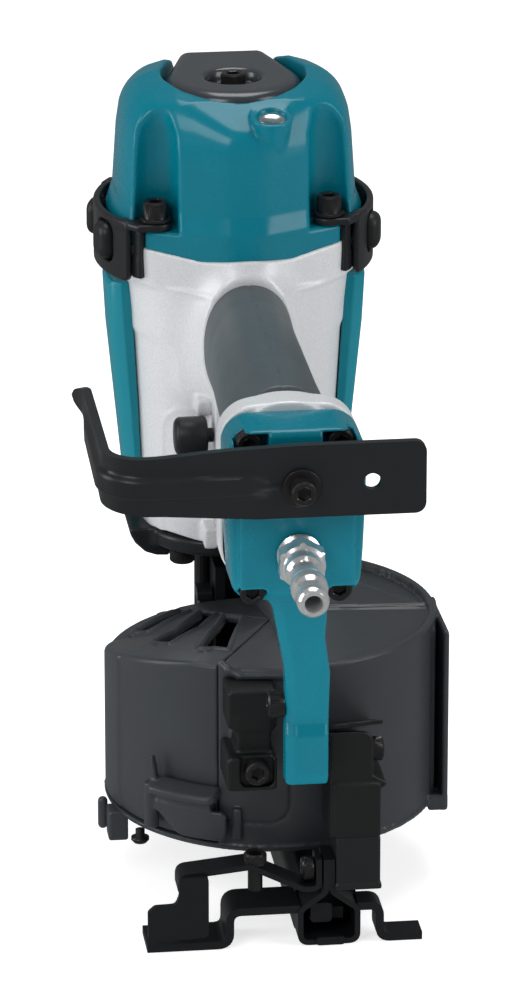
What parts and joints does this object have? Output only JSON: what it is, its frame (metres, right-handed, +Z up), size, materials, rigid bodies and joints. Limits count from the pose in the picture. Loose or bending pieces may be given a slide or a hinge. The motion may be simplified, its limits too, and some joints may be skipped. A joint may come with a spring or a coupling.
{
  "type": "pneumatic coil nail gun",
  "caption": "Pneumatic coil nailer: domed drive housing, rubber grip, round side-loading drum magazine, steel hook, air plug and a sliding foot gauge below.",
  "frame": {"origin": "middle of the footprint, on the work surface that the nose tip and the gauge stand on", "axes": "+Z up along the driver, +Y towards the front of the tool, -Y towards the air plug, +X to the operator's right"},
  "size_m": [0.13, 0.258, 0.2668],
  "materials": {
    "teal_paint": "gloss teal paint on cast aluminium",
    "teal_plastic": "semi-gloss moulded",
    "cast_alloy": "silver, fine cast texture",
    "bright_steel": "turned and polished",
    "chrome_steel": "bright plated",
    "black_steel": "satin black coat",
    "black_plastic": "satin glass-filled nylon",
    "dark_rubber": "matte overmould",
    "seal_rubber": "matte seal rubber"
  },
  "bodies": {
    "tool": {"housing": "cast_alloy", "cylinder_cap": "teal_paint", "end_cap": "teal_paint", "side_panel_left": "teal_plastic", "side_panel_right": "teal_plastic", "exhaust_deflector": "black_plastic", "deflector_bolt": "black_steel", "vent_plug": "bright_steel", "cap_bolt_1": "black_steel", "cap_bolt_2": "black_steel", "cap_bolt_3": "black_steel", "cap_bolt_4": "black_steel", "bumper_bracket_left": "black_steel", "bumper_bracket_right": "black_steel", "side_bumper_left": "dark_rubber", "side_bumper_right": "dark_rubber", "cylinder_sleeve": "bright_steel", "driver_bumper": "seal_rubber", "head_valve_spring": "bright_steel", "cap_gasket": "seal_rubber", "grip_sleeve": "dark_rubber", "end_gasket": "seal_rubber", "end_cap_bolt_1": "black_steel", "end_cap_bolt_2": "black_steel", "end_cap_bolt_3": "black_steel", "end_cap_bolt_4": "black_steel", "air_plug": "chrome_steel", "hook": "black_steel", "hook_bolt": "black_steel", "hook_spacer": "black_steel", "trigger_pin": "bright_steel", "trigger_valve_body": "black_plastic", "nose_base_plate": "black_steel", "driver_guide": "black_steel", "door_pin": "bright_steel", "contact_spring": "bright_steel", "feed_cylinder": "cast_alloy", "magazine_base": "black_plastic", "cover_pin": "bright_steel", "arm_bracket_left": "black_steel", "arm_bracket_right": "black_steel", "guide_bar": "bright_steel"},
    "driver": {"piston_driver": "bright_steel", "piston_ring": "seal_rubber"},
    "head_valve_body": {"head_valve": "black_plastic"},
    "trigger_body": {"trigger": "black_plastic"},
    "valve_stem": {"trigger_valve_stem": "bright_steel"},
    "selector": {"mode_selector": "black_plastic"},
    "contact_slider": {"contact_arm": "black_steel"},
    "dial": {"depth_dial": "bright_steel"},
    "foot": {"contact_foot": "black_steel"},
    "door": {"nose_door": "black_steel"},
    "door_catch": {"door_latch": "black_steel"},
    "pawl": {"feed_pawl": "bright_steel"},
    "cover": {"magazine_cover": "black_plastic"},
    "latch": {"cover_latch": "black_plastic"},
    "platform": {"nail_platform": "black_plastic"},
    "gauge": {"guide_rail": "black_steel", "gauge_arm": "black_steel", "guide_clamp_bolt": "black_steel"}
  },
  "joints": [
    {"name": "piston_stroke", "type": "slide", "parent": "tool", "child": "driver", "axis": [0, 0, -1], "range_m": [0, 0.0656]},
    {"name": "head_valve_lift", "type": "slide", "parent": "tool", "child": "head_valve_body", "axis": [0, 0, 1], "range_m": [0, 0.005], "stiffness_N_per_m": 1500, "springref_m": -0.004, "deforming": ["head_valve_spring"]},
    {"name": "trigger_pull", "type": "hinge", "parent": "tool", "child": "trigger_body", "pos_m": [0.002, 0.041, 0.147], "axis": [-1, 0, 0], "range_deg": [0, 11.1], "stiffness_Nm_per_rad": 0.3, "springref_deg": -11.46},
    {"name": "valve_stem_slide", "type": "slide", "parent": "tool", "child": "valve_stem", "axis": [0, 0, 1], "range_m": [0, 0.00288]},
    {"name": "mode_select", "type": "hinge", "parent": "tool", "child": "selector", "pos_m": [-0.0128, 0.04, 0.1475], "axis": [-1, 0, 0], "range_deg": [0, 90]},
    {"name": "contact_slide", "type": "slide", "parent": "tool", "child": "contact_slider", "axis": [0, 0, 1], "range_m": [0, 0.008], "stiffness_N_per_m": 1500, "springref_m": -0.02, "deforming": ["contact_spring"]},
    {"name": "dial_turn", "type": "hinge", "parent": "contact_slider", "child": "dial", "pos_m": [0.002, 0.1015, 0.0463], "axis": [0, 0, 1], "range_deg": [0, 720.5]},
    {"name": "foot_depth", "type": "slide", "parent": "contact_slider", "child": "foot", "axis": [0, 0, 1], "range_m": [0, 0.004]},
    {"name": "door_swing", "type": "hinge", "parent": "tool", "child": "door", "pos_m": [-0.0085, 0.093, 0.033], "axis": [0, 0, -1], "range_deg": [0, 95]},
    {"name": "door_latch_turn", "type": "hinge", "parent": "door", "child": "door_catch", "pos_m": [-0.0065, 0.08, 0.066], "axis": [-1, 0, 0], "range_deg": [0, 30]},
    {"name": "pawl_slide", "type": "slide", "parent": "tool", "child": "pawl", "axis": [0, -1, 0], "range_m": [0, 0.008], "stiffness_N_per_m": 400, "springref_m": -0.004},
    {"name": "cover_swing", "type": "hinge", "parent": "tool", "child": "cover", "pos_m": [-0.02382, 0.06779, 0.0334], "axis": [0, 0, -1], "range_deg": [0, 100]},
    {"name": "latch_turn", "type": "hinge", "parent": "cover", "child": "latch", "pos_m": [-0.03951, -0.02556, 0.0306], "axis": [0, 0, -1], "range_deg": [0, 35], "stiffness_Nm_per_rad": 0.2, "springref_deg": -8.59},
    {"name": "platform_height", "type": "slide", "parent": "tool", "child": "platform", "axis": [0, 0, 1], "range_m": [-0.012, 0.012]},
    {"name": "gauge_slide", "type": "slide", "parent": "tool", "child": "gauge", "axis": [0, -1, 0], "range_m": [-0.005, 0.03]}
  ],
  "couplings": [
    {"joint": "trigger_pull", "follows": "valve_stem_slide", "rad_per_m": 66.667},
    {"joint": "dial_turn", "follows": "foot_depth", "rad_per_m": 3141.6}
  ]
}
